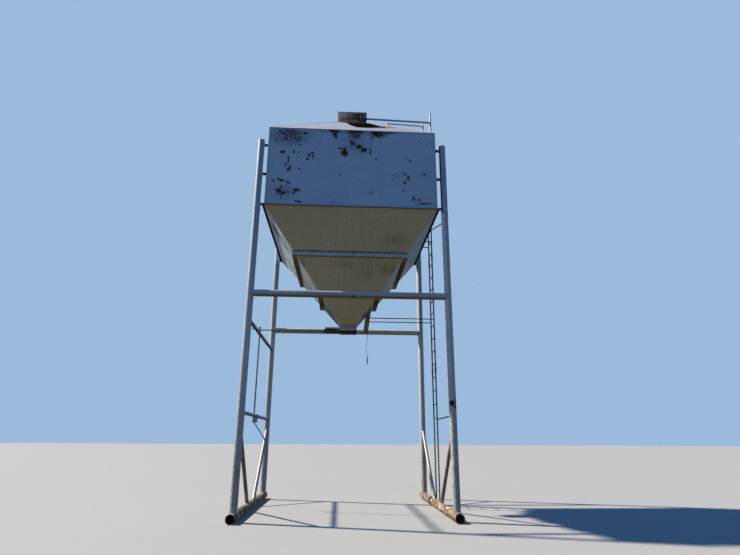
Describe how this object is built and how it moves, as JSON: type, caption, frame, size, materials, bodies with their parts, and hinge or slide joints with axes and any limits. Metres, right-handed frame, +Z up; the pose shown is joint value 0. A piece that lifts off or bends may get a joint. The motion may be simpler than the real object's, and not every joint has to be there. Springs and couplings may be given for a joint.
{
  "type": "overhead feed bin",
  "caption": "Square steel bin with pyramid roof, steep hopper and slide gate, raised on pipe legs and skids so a truck can load feed underneath, with a side ladder.",
  "frame": {"origin": "on the ground, midway between the two skids", "axes": "+Z up, -Y out of the front that the picture shows, +X to the right of the front; the slide gate opens towards -X"},
  "size_m": [4.1134, 4.21, 9.525],
  "materials": {
    "wall_paint": "weathered pale grey paint with rust bloom",
    "hopper_paint": "weathered pale grey paint with brown stain",
    "roof_paint": "chalky white paint",
    "pipe_paint": "weathered silver grey paint",
    "ring_paint": "dull grey paint",
    "rusty_pipe": "rusted through thin paint",
    "dark_steel": "dark rusted steel",
    "rusty_lid": "brown rusted sheet",
    "wire": "dull wire rope",
    "grip": "dark weathered wood"
  },
  "bodies": {
    "frame": {"wall_front": "wall_paint", "wall_right": "wall_paint", "wall_back": "wall_paint", "wall_left": "wall_paint", "skirt_angle": "ring_paint", "hopper_front": "hopper_paint", "hopper_right": "hopper_paint", "hopper_back": "hopper_paint", "hopper_left": "hopper_paint", "hopper_ring_upper": "ring_paint", "hopper_ring_lower": "ring_paint", "roof_front": "roof_paint", "roof_right": "roof_paint", "roof_back": "roof_paint", "roof_left": "roof_paint", "hatch_collar": "roof_paint", "hatch_lid": "rusty_lid", "skid_left": "rusty_pipe", "skid_right": "rusty_pipe", "leg_front_left": "pipe_paint", "leg_head_front_left": "pipe_paint", "leg_front_right": "pipe_paint", "leg_head_front_right": "pipe_paint", "leg_back_left": "pipe_paint", "leg_head_back_left": "pipe_paint", "leg_back_right": "pipe_paint", "leg_head_back_right": "pipe_paint", "brace_front_left": "pipe_paint", "brace_front_right": "pipe_paint", "brace_back_left": "pipe_paint", "brace_back_right": "pipe_paint", "cross_pipe_front": "rusty_pipe", "cross_pipe_back": "rusty_pipe", "side_pipe_upper": "pipe_paint", "side_pipe_lower": "pipe_paint", "outlet_neck": "hopper_paint", "gate_frame": "dark_steel", "lever_bracket": "dark_steel", "ladder_lower": "pipe_paint", "ladder_middle": "pipe_paint", "ladder_upper": "pipe_paint", "hanger_strut": "rusty_lid", "ladder_rod_front": "pipe_paint", "ladder_rod_back": "pipe_paint", "stay_upper": "pipe_paint", "stay_lower": "pipe_paint", "hatch_rail_front": "pipe_paint", "hatch_rail_back": "pipe_paint", "pull_wire": "wire", "pull_grip": "grip"},
    "gate": {"slide_gate": "dark_steel"},
    "lever": {"gate_lever": "dark_steel"}
  },
  "joints": [
    {"name": "gate_slide", "type": "slide", "parent": "frame", "child": "gate", "axis": [-1, 0, 0], "range_m": [0, 0.34]},
    {"name": "lever_hinge", "type": "hinge", "parent": "frame", "child": "lever", "pos_m": [-2.033, 0.06, 1.762], "axis": [0, -1, 0], "range_deg": [0, 9.6]}
  ],
  "couplings": [
    {"joint": "lever_hinge", "follows": "gate_slide", "rad_per_m": 0.4905}
  ]
}
